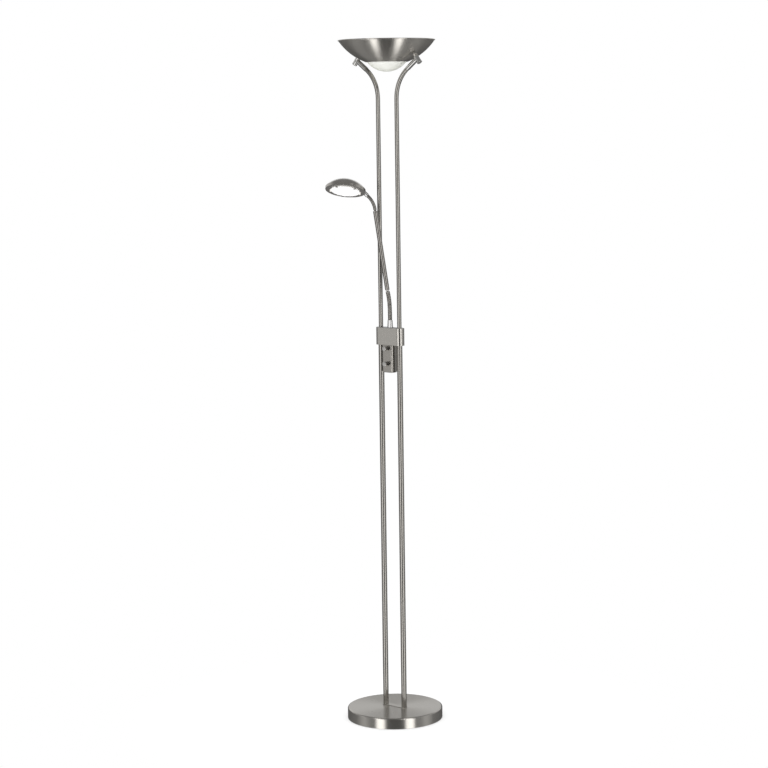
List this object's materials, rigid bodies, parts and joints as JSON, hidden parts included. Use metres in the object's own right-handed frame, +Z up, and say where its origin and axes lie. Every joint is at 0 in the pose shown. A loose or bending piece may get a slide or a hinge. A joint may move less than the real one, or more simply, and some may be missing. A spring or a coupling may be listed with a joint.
{
  "type": "torchiere floor lamp with reading light",
  "caption": "Brushed nickel torchiere floor lamp with a bowl shade over a frosted glass dish, dimmer knobs and a gooseneck reading light",
  "frame": {"origin": "bottom centre of the round base, on the floor", "axes": "+Z up along the column, +X from the left pole to the right pole, -Y the side of the dimmer knobs"},
  "size_m": [0.2566, 0.2611, 1.8],
  "materials": {
    "nickel": "satin",
    "chrome": "polished",
    "iron": "cast",
    "zinc": "cast",
    "fixings": "plated",
    "rubber": "matte",
    "plastic": "matte",
    "board": "satin",
    "opal_glass": "frosted",
    "lamp_glass": "clear",
    "steatite": "matte",
    "reflector": "satin"
  },
  "bodies": {
    "base": {"anchor_nuts": "fixings", "anchor_washers": "fixings", "base_cover": "nickel", "base_pad": "rubber", "base_weight": "iron", "cable_gland": "rubber", "clamp_barrels": "chrome", "clamp_block": "zinc", "clamp_caps": "chrome", "collar_band": "nickel", "collar_bottom_plate": "zinc", "collar_set_screws": "fixings", "collar_top_plate": "zinc", "dimmer_back_cover": "nickel", "dimmer_board": "board", "dimmer_housing": "nickel", "dimmer_screws": "fixings", "end_sleeves": "chrome", "foot_plate": "nickel", "friction_washer": "plastic", "gland_nut": "plastic", "glass_dish": "opal_glass", "holder_screws": "fixings", "lamp_bracket": "fixings", "lamp_lead": "plastic", "lampholders": "steatite", "left_lower_pole": "nickel", "left_upper_pole": "nickel", "linear_lamp": "lamp_glass", "pole_anchors": "fixings", "potentiometer_nuts": "fixings", "potentiometers": "fixings", "right_lower_pole": "nickel", "right_upper_pole": "nickel", "shade_bowl": "nickel", "shade_studs": "chrome", "stud_nuts": "fixings", "stud_washers": "fixings", "supply_lead": "plastic"},
    "arm": {"arm_socket": "chrome", "arm_nut": "fixings", "gooseneck_link_1": "nickel"},
    "hose_part_2": {"gooseneck_link_2": "nickel"},
    "hose_part_3": {"gooseneck_link_3": "nickel"},
    "tube": {"arm_tube": "nickel"},
    "neck": {"neck_tube": "chrome"},
    "head": {"head_shell": "nickel", "head_boss": "chrome", "boss_nut": "fixings", "head_ring": "nickel", "head_lens": "opal_glass", "lens_clips": "chrome", "head_reflector": "reflector", "head_lampholder": "steatite", "capsule_lamp": "lamp_glass"},
    "upper_dimmer": {"upper_knob": "chrome", "upper_knob_shaft": "plastic"},
    "lower_dimmer": {"lower_knob": "chrome", "lower_knob_shaft": "plastic"}
  },
  "joints": [
    {"name": "arm_swivel", "type": "hinge", "parent": "base", "child": "arm", "pos_m": [0, 0, 1.0517], "axis": [0, 0, 1], "range_deg": [-10, 110]},
    {"name": "gooseneck_bend_1", "type": "hinge", "parent": "arm", "child": "hose_part_2", "pos_m": [0, 0, 1.0973], "axis": [0.6428, -0.766, 0], "range_deg": [0, 25]},
    {"name": "gooseneck_bend_2", "type": "hinge", "parent": "hose_part_2", "child": "hose_part_3", "pos_m": [-0.00107, -0.00089, 1.12386], "axis": [0.6428, -0.766, 0], "range_deg": [0, 25]},
    {"name": "gooseneck_bend_3", "type": "hinge", "parent": "hose_part_3", "child": "tube", "pos_m": [-0.0046, -0.00386, 1.15006], "axis": [0.6428, -0.766, 0], "range_deg": [0, 25]},
    {"name": "neck_tilt", "type": "hinge", "parent": "tube", "child": "neck", "pos_m": [-0.02719, -0.02281, 1.3598], "axis": [0.6428, -0.766, 0], "range_deg": [0, 20]},
    {"name": "head_turn", "type": "hinge", "parent": "neck", "child": "head", "pos_m": [-0.0474, -0.03977, 1.40455], "axis": [-0.5417, -0.4545, 0.7071], "range_deg": [-115, 65]},
    {"name": "upper_dimmer_turn", "type": "hinge", "parent": "base", "child": "upper_dimmer", "pos_m": [0, -0.027, 0.9967], "axis": [0, 1, 0], "range_deg": [-150, 150]},
    {"name": "lower_dimmer_turn", "type": "hinge", "parent": "base", "child": "lower_dimmer", "pos_m": [0, -0.027, 0.9562], "axis": [0, 1, 0], "range_deg": [-150, 150]}
  ]
}
